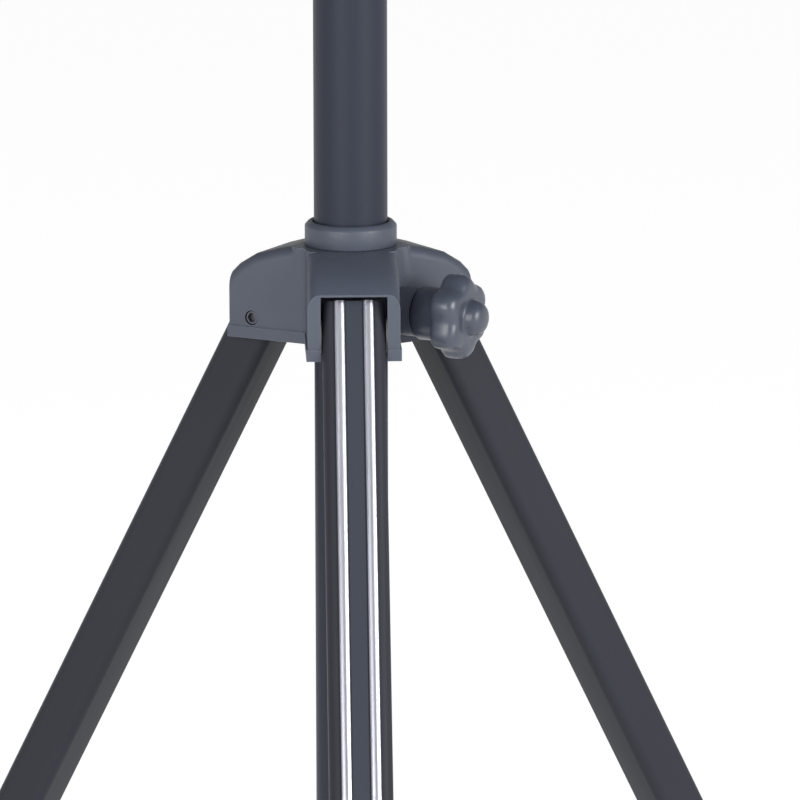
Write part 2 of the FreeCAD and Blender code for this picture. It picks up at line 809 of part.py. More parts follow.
def make_pivot_washers(name, place):
    """Two thin washers, one inside each cheek of the fork."""
    ring = Part.makeCylinder(size("washer_radius"), size("washer_thickness"))
    ring = ring.cut(Part.makeCylinder(size("pin_radius + running_gap"),
                                      size("washer_thickness")))
    across = Rotation(Vector(1, 0, 0), -90)
    reach = size("slot_width / 2")
    pair = []
    for start in (-reach, reach - size("washer_thickness")):
        washer = ring.copy()
        washer.Placement = Placement(Vector(-size("leg_shift"), start, 0), across)
        pair.append(washer)
    washers = doc.addObject("Part::Feature", "pivot_washers_" + name)
    washers.Label = "pivot_washers_" + name
    washers.Shape = Part.makeCompound(pair)
    washers.Placement = place
    return washers


def make_lower_leg(name, place):
    """Plain hollow extrusion that slides in the upper one."""
    body = new_body("lower_leg_" + name)
    section = new_sketch(body, "XY_Plane", lift="-lower_drop")
    rounded_rectangle(section, LOWER_DEPTH, LOWER_WIDTH, LOWER_CORNER)
    rounded_rectangle(section, f"{LOWER_DEPTH} - 2 * lower_wall",
                      f"{LOWER_WIDTH} - 2 * lower_wall", f"({LOWER_CORNER}) / 2")
    pad(section, "lower_length")
    body.Placement = place
    return body


def make_glide(name, place):
    """Nylon slider on top of the lower leg, a plug with a flange."""
    body = new_body("lower_leg_glide_" + name)
    plug = new_sketch(body, "XY_Plane", lift="lower_length - lower_drop - glide_length")
    rounded_rectangle(plug, f"{LOWER_DEPTH} - 2 * lower_wall - 2 * running_gap",
                      f"{LOWER_WIDTH} - 2 * lower_wall - 2 * running_gap",
                      f"({LOWER_CORNER}) / 2")
    pad(plug, "glide_length")
    flange = new_sketch(body, "XY_Plane", lift="lower_length - lower_drop")
    rounded_rectangle(flange, "leg_depth - 2 * leg_wall - 2 * glide_gap",
                      "leg_width - 2 * leg_wall - 2 * glide_gap",
                      "leg_corner - leg_wall - glide_gap")
    pad(flange, "glide_flange")
    body.Placement = place
    return body


def make_lock_housing(name, place):
    """Block around the upper leg's end, with ears for the lever and a brake window."""
    body = new_body("lock_housing_" + name)
    block = new_sketch(body, "XY_Plane", lift=LOCK_BOTTOM)
    rounded_rectangle(block, "lock_depth", "lock_width", "lock_corner", "lock_shift")
    pad(block, "lock_length")
    ears = outline(new_sketch(body, "XZ_Plane"), [
        (f"{LOCK_FACE} - ear_root", f"{LEVER_Z} - ear_height / 2"),
        (f"{LOCK_FACE} + ear_reach", f"{LEVER_Z} - ear_height / 2"),
        (f"{LOCK_FACE} + ear_reach", f"{LEVER_Z} + ear_height / 2 - ear_chamfer"),
        (f"{LOCK_FACE} + ear_reach - ear_chamfer", f"{LEVER_Z} + ear_height / 2"),
        (f"{LOCK_FACE} - ear_root", f"{LEVER_Z} + ear_height / 2"),
    ])
    pad(ears, "lock_width", both=True)
    between = outline(new_sketch(body, "XZ_Plane"), [
        (LOCK_FACE, f"{LOCK_BOTTOM} - overrun"),
        (f"{LOCK_FACE} + ear_reach + overrun", f"{LOCK_BOTTOM} - overrun"),
        (f"{LOCK_FACE} + ear_reach + overrun", f"{LOCK_TOP} + overrun"),
        (LOCK_FACE, f"{LOCK_TOP} + overrun"),
    ])
    pocket(between, "lock_width - 2 * ear_thickness", both=True)
    window = outline(new_sketch(body, "XZ_Plane"), [
        (PAD_INNER, f"{LEVER_Z} - lever_radius - window_gap"),
        (f"{LOCK_FACE} + overrun", f"{LEVER_Z} - lever_radius - window_gap"),
        (f"{LOCK_FACE} + overrun", f"{LEVER_Z} + lever_radius + window_gap"),
        (PAD_INNER, f"{LEVER_Z} + lever_radius + window_gap"),
    ])
    pocket(window, "lock_width - 2 * ear_thickness", both=True)
    socket = new_sketch(body, "XY_Plane", lift="-leg_drop")
    rounded_rectangle(socket, "leg_depth + 2 * running_gap", "leg_width + 2 * running_gap",
                      "leg_corner + running_gap")
    pocket(socket, "lock_overlap + overrun", reverse=True)
    grooves = new_sketch(body, "XY_Plane", lift="-leg_drop")
    for across in ("rib_offset", "-rib_offset"):
        circle(grooves, "leg_depth / 2 + rib_proud - rib_radius", across,
               "rib_radius + running_gap")
    pocket(grooves, "lock_overlap + overrun", reverse=True)
    passage = new_sketch(body, "XY_Plane", lift=f"{LOCK_BOTTOM} - overrun")
    rounded_rectangle(passage, f"{LOWER_DEPTH} + 2 * loose_gap",
                      f"{LOWER_WIDTH} + 2 * loose_gap", f"{LOWER_CORNER} + loose_gap")
    pocket(passage, "lock_length", reverse=True)
    hole = circle(new_sketch(body, "XZ_Plane"), LEVER_X, LEVER_Z, "lever_pin_radius")
    pocket(hole, "lock_width + 2 * overrun", both=True)
    body.Placement = place
    return body


def make_lock_lever(name, place):
    """Flip lever: a round cam barrel and a flat handle with a flared tip."""
    body = new_body("lock_lever_" + name)
    inner = f"{LOCK_FACE} + loose_gap"
    handle = outline(new_sketch(body, "XZ_Plane"), [
        (inner, LEVER_Z),
        (f"{inner} + lever_thickness", LEVER_Z),
        (f"{inner} + lever_thickness", f"{LEVER_Z} + lever_length - lever_tip"),
        (f"{inner} + lever_thickness + lever_flare", f"{LEVER_Z} + lever_length"),
        (f"{inner} + lever_flare - lever_tip_taper", f"{LEVER_Z} + lever_length"),
        (inner, f"{LEVER_Z} + lever_length - lever_under_tip"),
    ])
    width = "lock_width - 2 * ear_thickness - 2 * loose_gap"
    pad(handle, width, both=True)
    barrel = circle(new_sketch(body, "XZ_Plane"), LEVER_X, LEVER_Z, "lever_radius")
    pad(barrel, width, both=True)
    hole = circle(new_sketch(body, "XZ_Plane"), LEVER_X, LEVER_Z,
                  "lever_pin_radius + running_gap")
    pocket(hole, "lock_width", both=True)
    body.Placement = place
    return body


def make_lever_pin(name, place):
    """Pin that the flip lever turns on."""
    body = new_body("lock_lever_pin_" + name)
    rod = circle(new_sketch(body, "XZ_Plane"), LEVER_X, LEVER_Z, "lever_pin_radius")
    pad(rod, "lock_width", both=True)
    body.Placement = place
    return body


def make_brake_pad(name, place):
    """Slab between the lever's cam and the lower leg."""
    body = new_body("brake_pad_" + name)
    slab = outline(new_sketch(body, "XZ_Plane"), [
        (PAD_INNER, f"{LEVER_Z} - lever_radius"),
        (f"{LEVER_X} - lever_radius - loose_gap", f"{LEVER_Z} - lever_radius"),
        (f"{LEVER_X} - lever_radius - loose_gap", f"{LEVER_Z} + lever_radius"),
        (PAD_INNER, f"{LEVER_Z} + lever_radius"),
    ])
    pad(slab, "pad_width", both=True)
    body.Placement = place
    return body


def make_foot(name, place):
    """Rubber boot with a round sole."""
    body = new_body("rubber_foot_" + name)
    boot = circle(new_sketch(body, "XY_Plane", lift="-foot_drop"), "0", "0",
                  "foot_neck_radius")
    pad(boot, "foot_height")
    ball_profile = new_sketch(body, "XZ_Plane")
    centre = Vector(0, -size("foot_drop"), 0)
    radius = size("foot_radius")
    arc = Part.ArcOfCircle(Part.Circle(centre, Vector(0, 0, 1), radius),
                           -math.pi / 2, math.pi / 2)
    ball_profile.addGeometry(arc, False)
    ball_profile.addGeometry(Part.LineSegment(centre + Vector(0, radius, 0),
                                              centre - Vector(0, radius, 0)), False)
    ball_profile.addConstraint(Sketcher.Constraint("Coincident", 0, 2, 1, 1))
    ball_profile.addConstraint(Sketcher.Constraint("Coincident", 1, 2, 0, 1))
    fix(ball_profile, "DistanceX", 0, 3, "0")
    fix(ball_profile, "DistanceY", 0, 3, "-foot_drop")
    fix(ball_profile, "DistanceX", 1, 1, "0")
    fix(ball_profile, "DistanceX", 1, 2, "0")
    rule = ball_profile.addConstraint(Sketcher.Constraint("Radius", 0, radius))
    ball_profile.setExpression(f"Constraints[{rule}]", formula("foot_radius"))
    turned(ball_profile)
    socket = new_sketch(body, "XY_Plane", lift="-lower_drop")
    rounded_rectangle(socket, f"{LOWER_DEPTH} + 2 * running_gap",
                      f"{LOWER_WIDTH} + 2 * running_gap", f"{LOWER_CORNER} + running_gap")
    pocket(socket, "foot_height", reverse=True)
    body.Placement = place
    return body


LEG_PIECES = [
    make_upper_leg, make_leg_head, make_pivot_pin, make_pivot_washers, make_lower_leg,
    make_glide, make_lock_housing, make_lock_lever, make_lever_pin, make_brake_pad,
    make_foot,
]

pieces = [
    make_hub(), make_collar(), make_bushing(), make_column(), make_end_cap(),
    make_top_cap(), make_rest_washer(), make_rest_nut(), make_rest_yoke(),
    make_rest_liner(), make_knob(), make_stud(), make_shoe(),
]
for leg_name, leg_azimuth in LEGS.items():
    for make_piece in LEG_PIECES:
        pieces.append(make_piece(leg_name, on_leg(leg_azimuth)))

doc.recompute()
for item in doc.Objects:
    if "Invalid" in item.State or "Error" in item.State:
        raise RuntimeError(f"{item.Label} failed: {item.State}")
for piece in pieces:
    if piece.Shape.isNull() or not piece.Shape.isValid() or not piece.Shape.Solids:
        raise RuntimeError(f"{piece.Label} has no valid shape")

os.makedirs("parts", exist_ok=True)
for piece in pieces:
    piece.Shape.exportStep(f"parts/{piece.Label}.step")
print(f"{len(pieces)} pieces written")
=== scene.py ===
import json
import logging
import math
from dataclasses import dataclass
from enum import Enum
from typing import Any, Callable, Sequence

import bmesh
import bpy
from mathutils import Matrix, Vector


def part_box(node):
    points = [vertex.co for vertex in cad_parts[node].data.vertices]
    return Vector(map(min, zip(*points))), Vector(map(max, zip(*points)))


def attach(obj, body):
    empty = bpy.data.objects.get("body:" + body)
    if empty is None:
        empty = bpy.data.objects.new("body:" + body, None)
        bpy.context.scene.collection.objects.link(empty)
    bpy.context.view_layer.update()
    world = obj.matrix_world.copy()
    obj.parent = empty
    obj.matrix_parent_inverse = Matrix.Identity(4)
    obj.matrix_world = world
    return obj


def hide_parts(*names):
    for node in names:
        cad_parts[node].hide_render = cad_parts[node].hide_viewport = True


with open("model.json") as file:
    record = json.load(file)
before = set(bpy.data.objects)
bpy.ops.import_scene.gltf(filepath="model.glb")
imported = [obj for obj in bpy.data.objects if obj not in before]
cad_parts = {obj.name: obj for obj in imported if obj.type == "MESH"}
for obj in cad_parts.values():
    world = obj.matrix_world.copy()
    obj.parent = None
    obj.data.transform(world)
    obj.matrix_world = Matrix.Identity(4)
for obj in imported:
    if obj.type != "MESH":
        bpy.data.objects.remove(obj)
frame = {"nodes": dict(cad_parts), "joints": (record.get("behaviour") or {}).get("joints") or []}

# The looks of a three-legged field stand: a column clamped in a die-cast hub, three
# telescopic legs with flip locks and a swivelling rest. Shapes are drawn in
# millimetres in each piece's own frame and placed in metres.

log = logging.getLogger("stand")

MM = 0.001
Point = tuple[float, float]
Test = Callable[[Vector], bool]

# Points nearer than this, in metres, are one: in a drawn mesh and in a CAD mesh.
WELD = 1e-7
CAD_WELD = 2e-6

# CAD faces that turn by less than the first, in degrees, are joined, and a refined
# piece's edges that turn by more than the second are rounded.
FLAT_TURN = 0.5
EASED_TURN = 40.0

# Nearly all of a noise pattern lies between these.
NOISE_LOW, NOISE_HIGH = 0.3, 0.7

# Wear starts at the first cosine between the rounded and the flat normal, is full at
# the second, and hides the last share of the paint.
WEAR_START, WEAR_FULL, WEAR_SHARE = 0.995, 0.90, 0.55


class Slot(Enum):
    """The record's material slots."""

    CASTING = "cast_alloy"
    KNOB = "knob_grey"
    COLUMN = "dark_tube"
    UPPER_LEG = "leg_extrusion"
    LOWER_LEG = "lower_extrusion"
    MOULDED = "moulded_black"
    NYLON = "nylon"
    RUBBER = "rubber"
    ZINC = "zinc_steel"
    DARK_STEEL = "dark_steel"


class Side(Enum):
    """The three legs, by the arm of the hub that holds them."""

    FRONT = "front"
    RIGHT = "right"
    LEFT = "left"


# ------------------------------------------------------------------------ finishes

def linear(colour: str) -> tuple[float, float, float, float]:
    """Turn an sRGB hex colour into linear light.

    Args:
        colour: The colour as "#rrggbb".

    Returns:
        Red, green, blue and an alpha of 1.
    """
    channels = [int(colour[start:start + 2], 16) / 255 for start in (1, 3, 5)]
    red, green, blue = (c / 12.92 if c <= 0.04045 else ((c + 0.055) / 1.055) ** 2.4
                        for c in channels)
    return red, green, blue, 1.0


def add_node(tree: bpy.types.NodeTree, kind: str, settings: dict[Any, Any] | None = None,
             links: dict[Any, bpy.types.NodeSocket] | None = None) -> bpy.types.Node:
    """Add a node with its settings and links.

    Args:
        tree: The node tree that it goes into.
        kind: The node's type name.
        settings: Values by the name of a property, or the name or index of an input.
        links: Output sockets by the name or index of the input that each feeds.

    Returns:
        The new node.
    """
    node = tree.nodes.new(kind)
    for key, value in (settings or {}).items():
        if isinstance(key, str) and hasattr(node, key):
            setattr(node, key, value)
    for key, value in (settings or {}).items():
        if not (isinstance(key, str) and hasattr(node, key)):
            node.inputs[key].default_value = value
    for key, source in (links or {}).items():
        tree.links.new(source, node.inputs[key])
    return node


@dataclass(frozen=True)
class Grain:
    """A noise pattern in a piece's own frame, sized in millimetres.

    A grain much longer along the piece than across it gives drawing or brushing lines.
    """

    across: float
    along: float
    detail: float = 2.0

    def factor(self, tree: bpy.types.NodeTree) -> bpy.types.NodeSocket:
        """Add the pattern to a tree.

        Args:
            tree: The material's node tree.

        Returns:
            The socket that carries the pattern, from 0 to 1.
        """
        place = add_node(tree, "ShaderNodeTexCoord")
        sized = add_node(tree, "ShaderNodeMapping", {
            "Scale": (1 / (self.across * MM), 1 / (self.across * MM), 1 / (self.along * MM)),
        }, {"Vector": place.outputs["Object"]})
        noise = add_node(tree, "ShaderNodeTexNoise", {"Scale": 1.0, "Detail": self.detail},
                         {"Vector": sized.outputs["Vector"]})
        return noise.outputs["Fac"]


@dataclass(frozen=True)
class Finish:
    """A surface's common ground: colour, gloss and two grains.

    The fine grain gives relief and a change of gloss. The broad grain drifts the
    colour between the two given.
    """

    name: str
    colour: str
    drift: str
    roughness: tuple[float, float]
    fine: Grain
    broad: Grain
    relief: float
    metallic: float = 0.0
    ior: float = 1.5
    specular: float = 0.5
    worn: str | None = None
    worn_width: float = 0.35

    def material(self) -> bpy.types.Material:
        """Make the material, or find it where it was made before."""
        made = bpy.data.materials.get(self.name)
        if made is not None:
            return made
        made = bpy.data.materials.new(self.name)
        made.use_nodes = True
        tree = made.node_tree
        tree.nodes.clear()
        settings = {"Metallic": self.metallic, "Specular IOR Level": self.specular}
        if not self.metallic:
            settings["IOR"] = self.ior
        shader = add_node(tree, "ShaderNodeBsdfPrincipled", settings)
        output = add_node(tree, "ShaderNodeOutputMaterial", None,
                          {"Surface": shader.outputs["BSDF"]})
        output.is_active_output = True
        fine = self.fine.factor(tree)
        gloss = add_node(tree, "ShaderNodeMapRange", {
            "To Min": self.roughness[0],
            "To Max": self.roughness[1],
            "From Min": NOISE_LOW,
            "From Max": NOISE_HIGH,
        }, {"Value": fine})
        tree.links.new(gloss.outputs["Result"], shader.inputs["Roughness"])
        bump = add_node(tree, "ShaderNodeBump", {"Strength": 1.0, "Distance": self.relief * MM},
                        {"Height": fine})
        tree.links.new(bump.outputs["Normal"], shader.inputs["Normal"])
        tree.links.new(self.tint(tree), shader.inputs["Base Color"])
        return made

    def tint(self, tree: bpy.types.NodeTree) -> bpy.types.NodeSocket:
        """Add the drifting colour, and wear along the edges where the finish has it.

        Args:
            tree: The material's node tree.

        Returns:
            The socket that carries the colour.
        """
        drift = add_node(tree, "ShaderNodeMix", {
            "data_type": "RGBA",
            6: linear(self.colour),
            7: linear(self.drift),
        }, {0: self.broad.factor(tree)})
        if self.worn is None:
            return drift.outputs[2]
        rounded = add_node(tree, "ShaderNodeBevel",
                           {"samples": 4, "Radius": self.worn_width * MM})
        flat = add_node(tree, "ShaderNodeNewGeometry")
        turned = add_node(tree, "ShaderNodeVectorMath", {"operation": "DOT_PRODUCT"}, {
            0: rounded.outputs["Normal"],
            1: flat.outputs["Normal"],
        })
        edge = add_node(tree, "ShaderNodeMapRange", {
            "From Min": WEAR_START,
            "From Max": WEAR_FULL,
            "To Min": 0.0,
            "To Max": WEAR_SHARE,
        }, {"Value": turned.outputs["Value"]})
        worn = add_node(tree, "ShaderNodeMix", {"data_type": "RGBA", 7: linear(self.worn)}, {
            0: edge.outputs["Result"],
            6: drift.outputs[2],
        })
        return worn.outputs[2]


# Polyester powder over a pressure die casting: satin grey with a soft orange peel,
# rubbed lighter along its edges. The peel is about 0.5 mm across, drawn at 1 mm.
CASTING = Finish("satin_powder_coated_die_casting", "#3c414d", "#424753", (0.40, 0.52),
                 Grain(1.0, 1.0), Grain(18.0, 18.0), 0.035, specular=0.42, worn="#6f747e")

# The clamp knob is nylon, moulded in the same grey: a little glossier than the paint.
KNOB_NYLON = Finish("grey_moulded_nylon", "#373c48", "#3c414d", (0.30, 0.40),
                    Grain(0.8, 0.8), Grain(9.0, 9.0), 0.02)

# Drawn aluminium tube, anodised graphite: near black with a blue cast, a broad soft
# sheen and lines left by the die along it. The lines are drawn 0.7 mm apart.
DARK_TUBE = Finish("graphite_anodised_drawn_tube", "#242832", "#282c37", (0.38, 0.48),
                   Grain(0.7, 90.0, 3.0), Grain(14.0, 60.0), 0.006, specular=0.17)

# Extruded aluminium leg, anodised black: flat and even, with faint extrusion lines.
DARK_EXTRUSION = Finish("black_anodised_extrusion", "#26282e", "#2a2c33", (0.48, 0.58),
                        Grain(0.8, 70.0, 3.0), Grain(12.0, 50.0), 0.008, specular=0.16)

# The rib crowns are cut bright after anodising: bare aluminium with fine lines along
# its length, so it mirrors the room as a long lilac-white stripe.
BRIGHT_CUT = Finish("bright_cut_aluminium", "#bbbdc8", "#c8cad4", (0.26, 0.36),
                    Grain(0.5, 60.0, 3.0), Grain(4.0, 40.0), 0.004, metallic=1.0)

# The floor of the channel between the ribs is a lighter, glossier copy of the black anodise:
# painted light, standing in for light that the ribs reflect into the channel.
CHANNEL_PAINTED_BOUNCE = Finish("black_anodised_channel_floor_painted_bounce_light", "#292d37", "#2d313b", (0.46, 0.56),
                 Grain(0.8, 70.0, 3.0), Grain(12.0, 50.0), 0.008, specular=0.30)

# The inner leg tube is anodised in its natural silver: satin, with extrusion lines.
SILVER_EXTRUSION = Finish("natural_anodised_extrusion", "#9fa2a6", "#a9acb0", (0.30, 0.42),
                          Grain(0.7, 80.0, 3.0), Grain(10.0, 60.0), 0.006, metallic=1.0)

# Glass-filled nylon from a spark-eroded mould: black, matt, an even leather-like grain
# of about 0.4 mm, drawn at 0.9 mm.
MOULDED = Finish("spark_textured_black_nylon", "#212226", "#26272b", (0.48, 0.62),
                 Grain(0.9, 0.9), Grain(10.0, 10.0), 0.05, specular=0.42)

# Unfilled nylon for the sliding pieces: milky white, slightly waxy.
NYLON = Finish("natural_moulded_nylon", "#c9c5b8", "#d3cfc3", (0.38, 0.48),
               Grain(1.2, 1.2), Grain(8.0, 8.0), 0.015, ior=1.53)

# Moulded natural rubber: very dark and matt, with a dusty bloom.
RUBBER = Finish("moulded_black_rubber", "#1a1a1c", "#242426", (0.66, 0.84),
                Grain(0.7, 0.7), Grain(6.0, 6.0), 0.06, ior=1.52, specular=0.35)

# Zinc-plated steel with a clear passivation: cool silver with a faint mottle.
ZINC_PLATE = Finish("clear_zinc_plated_steel", "#b3b8bd", "#a3a8b0", (0.22, 0.36),
                    Grain(1.5, 1.5, 3.0), Grain(5.0, 5.0), 0.006, metallic=1.0)

# Black-oxide steel pins: oily charcoal grey with soft reflections.
BLACK_OXIDE = Finish("black_oxide_steel", "#4e5157", "#5a5d63", (0.34, 0.46),
                     Grain(0.9, 0.9), Grain(5.0, 5.0), 0.008, metallic=1.0)


# ------------------------------------------------------------------------ shapes

def placed(origin: Vector, out: Vector, up: Vector) -> Matrix:
    """A piece's frame in the stand's frame.

    Args:
        origin: Its origin, in metres.
        out: The direction of its X axis.
        up: The direction of its Z axis.

    Returns:
        The frame as a matrix.
    """
    turn = Matrix((out, up.cross(out), up)).transposed().to_4x4()
    return Matrix.Translation(origin) @ turn


def upright(height: float) -> Matrix:
    """A frame on the column's axis, at a height in metres."""
    return Matrix.Translation((0, 0, height))


def solid(name: str, points: Sequence[Sequence[float]], faces: Sequence[Sequence[int]],
          place: Matrix, finishes: Sequence[Finish], sharp: float = 35.0) -> bpy.types.Object:
    """Make an object of points and faces.

    Args:
        name: The piece's name.
        points: Its points, in millimetres in its own frame.
        faces: The indices of each face's points.
        place: Its frame.
        finishes: Its finishes, the first on every face.
        sharp: Edges that turn by more than this, in degrees, stay sharp.

    Returns:
        The object, linked to the scene.
    """
    mesh = bpy.data.meshes.new(name)
    mesh.from_pydata([Vector(point) * MM for point in points], [], faces)
    shape = bmesh.new()
    shape.from_mesh(mesh)
    bmesh.ops.remove_doubles(shape, verts=shape.verts, dist=WELD)
    bmesh.ops.recalc_face_normals(shape, faces=shape.faces)
    shape.to_mesh(mesh)
    shape.free()
    return dressed(name, mesh, place, finishes, sharp)


def dressed(name: str, mesh: bpy.types.Mesh, place: Matrix, finishes: Sequence[Finish],
            sharp: float) -> bpy.types.Object:
    """Give a mesh its shading, finishes and place.

    Args:
        name: The piece's name.
        mesh: The mesh, in metres in the piece's own frame.
        place: Its frame.
        finishes: Its finishes.
        sharp: Edges that turn by more than this, in degrees, stay sharp.

    Returns:
        The object, linked to the scene.
    """
    mesh.shade_smooth()
    mesh.set_sharp_from_angle(angle=math.radians(sharp))
    for finish in finishes:
        mesh.materials.append(finish.material())
    piece = bpy.data.objects.new(name, mesh)
    bpy.context.scene.collection.objects.link(piece)
    piece.matrix_world = place
    return piece


def lathe(name: str, profile: Sequence[Point], place: Matrix, finish: Finish,
          steps: int = 96, ring: bool = False, sharp: float = 35.0) -> bpy.types.Object:
    """Turn a profile about Z.

    Args:
        name: The piece's name.
        profile: Radius and height of each point, in millimetres.
        place: The piece's frame.
        finish: Its finish.
        steps: Points around.
        ring: Whether the profile closes on itself, as a tube's does.
        sharp: Edges that turn by more than this, in degrees, stay sharp.

    Returns:
        The object.
    """
    points = [(radius * math.cos(2 * math.pi * step / steps),
               radius * math.sin(2 * math.pi * step / steps), height)
              for radius, height in profile for step in range(steps)]
    count = len(profile)
    faces = []
    for row in range(count if ring else count - 1):
        low, high = row * steps, (row + 1) % count * steps
        for step in range(steps):
            after = (step + 1) % steps
            faces.append((low + step, low + after, high + after, high + step))
    return solid(name, points, faces, place, [finish], sharp)


def prism(name: str, outer: Sequence[Point], low: float, high: float, place: Matrix,
          finishes: Sequence[Finish], inner: Sequence[Point] = (),
          sharp: float = 35.0) -> bpy.types.Object:
    """Extrude an outline along Z, hollow where an inner outline is given.

    Args:
        name: The piece's name.
        outer: The outline, in millimetres, anticlockwise.
        low: The lower end.
        high: The upper end.
        place: The piece's frame.
        finishes: Its finishes, the first on every face.
        inner: The hollow's outline, with as many points as the outer one.
        sharp: Edges that turn by more than this, in degrees, stay sharp.

    Returns:
        The object.
    """
    count = len(outer)
    loops = [outer] + ([inner] if inner else [])
    points = [(x, y, z) for loop in loops for z in (low, high) for x, y in loop]
    faces = []
    for first in range(0, len(points), 2 * count):
        for index in range(count):
            after = (index + 1) % count
            faces.append((first + index, first + after,
                          first + count + after, first + count + index))
    for start in (0, count):
        if inner:
            for index in range(count):
                after = (index + 1) % count
                faces.append((start + index, start + after,
                              2 * count + start + after, 2 * count + start + index))
        else:
            faces.append(tuple(range(start, start + count)))
    return solid(name, points, faces, place, finishes, sharp)


def eased(piece: bpy.types.Object, width: float) -> bpy.types.Object:
    """Round the sharp edges of a piece.

    Args:
        piece: The object.
        width: How wide the rounding is, in millimetres.

    Returns:
        The same object.
    """
    bevel = piece.modifiers.new("eased_edges", "BEVEL")
    bevel.width = width * MM
    bevel.segments = 2
    bevel.limit_method = "ANGLE"
    bevel.angle_limit = math.radians(EASED_TURN)
    bevel.miter_outer = "MITER_ARC"
    bevel.harden_normals = True
    return piece


def refined(name: str, node: str, finishes: Sequence[Finish], width: float) -> bpy.types.Object:
    """Make a piece in the shape of a CAD node, with its sharp edges rounded.

    Args:
        name: The piece's name.
        node: The CAD node.
        finishes: Its finishes, the first on every face.
        width: How wide the rounding is, in millimetres.

    Returns:
        The object.
    """
    shape = bmesh.new()
    shape.from_mesh(frame["nodes"][node].data)
    bmesh.ops.remove_doubles(shape, verts=shape.verts, dist=CAD_WELD)
    bmesh.ops.dissolve_limit(shape, angle_limit=math.radians(FLAT_TURN), verts=shape.verts,
                             edges=shape.edges)
    points = [tuple(vertex.co / MM) for vertex in shape.verts]
    faces = [[vertex.index for vertex in face.verts] for face in shape.faces]
    shape.free()
    return eased(solid(name, points, faces, Matrix.Identity(4), finishes, sharp=30), width)


def arc(centre: Point, radius: float, start: float, end: float, steps: int) -> list[Point]:
    """Points on an arc.

    Args:
        centre: The arc's centre.
        radius: Its radius.
        start: The first angle, in degrees.
        end: The last angle, in degrees.
        steps: How many parts it is divided into.

    Returns:
        The points, both ends included.
    """
    angles = [math.radians(start + (end - start) * step / steps) for step in range(steps + 1)]
    return [(centre[0] + radius * math.cos(angle), centre[1] + radius * math.sin(angle))
            for angle in angles]


def rounded_box(depth: float, width: float, corner: float, steps: int = 8) -> list[Point]:
    """The outline of a box with round corners, depth along X, width along Y."""
    x, y = depth / 2 - corner, width / 2 - corner
    return [point for quarter, centre in enumerate(((x, y), (-x, y), (-x, -y), (x, -y)))
            for point in arc(centre, corner, 90 * quarter, 90 * quarter + 90, steps)]


def threaded(radius: float, low: float, high: float, pitch: float, depth: float) -> list[Point]:
    """A screw thread's profile, as rings at its pitch.

    Args:
        radius: The crest's radius.
        low: Where the profile starts.
        high: Where it ends.
        pitch: The distance between crests.
        depth: How deep the roots are. A negative depth gives an inner thread.

    Returns:
        Radius and height of each point.
    """
    turns = int(abs(high - low) / pitch)
    step = (high - low) / (2 * turns)
    return [(radius - depth * (index % 2), low + index * step)
            for index in range(2 * turns + 1)]


def paint(piece: bpy.types.Object, slot: int, chosen: Test) -> None:
    """Give faces another of the piece's finishes.

    Args:
        piece: The object.
        slot: Which finish.
        chosen: Whether the face at a point, in millimetres, takes it.
    """
    for face in piece.data.polygons:
        if chosen(face.center / MM):
            face.material_index = slot


def fitted(piece: bpy.types.Object, body: str, slot: Slot, *nodes: str) -> None:
    """Fit a piece to the CAD body that carries it.

    Args:
        piece: The object.
        body: The body's name.
        slot: The record's slot for its finish. Not used.
        nodes: The CAD nodes that it stands for.
    """
    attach(piece, body)
    if nodes:
        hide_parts(*nodes)
    log.info("%s rides on %s", piece.name, body)


def coat(node: str, finish: Finish) -> None:
    """Give a CAD node that stays in view its finish."""
    slots = frame["nodes"][node].material_slots
    if not slots:
        frame["nodes"][node].data.materials.append(finish.material())
    for slot in slots:
        slot.material = finish.material()
    log.info("%s keeps its CAD shape", node)


def joint(name: str) -> dict[str, Any]:
    """The record of a joint."""
    return next(entry for entry in frame["joints"] if entry["name"] == name)


# ------------------------------------------------------------------------ the stand

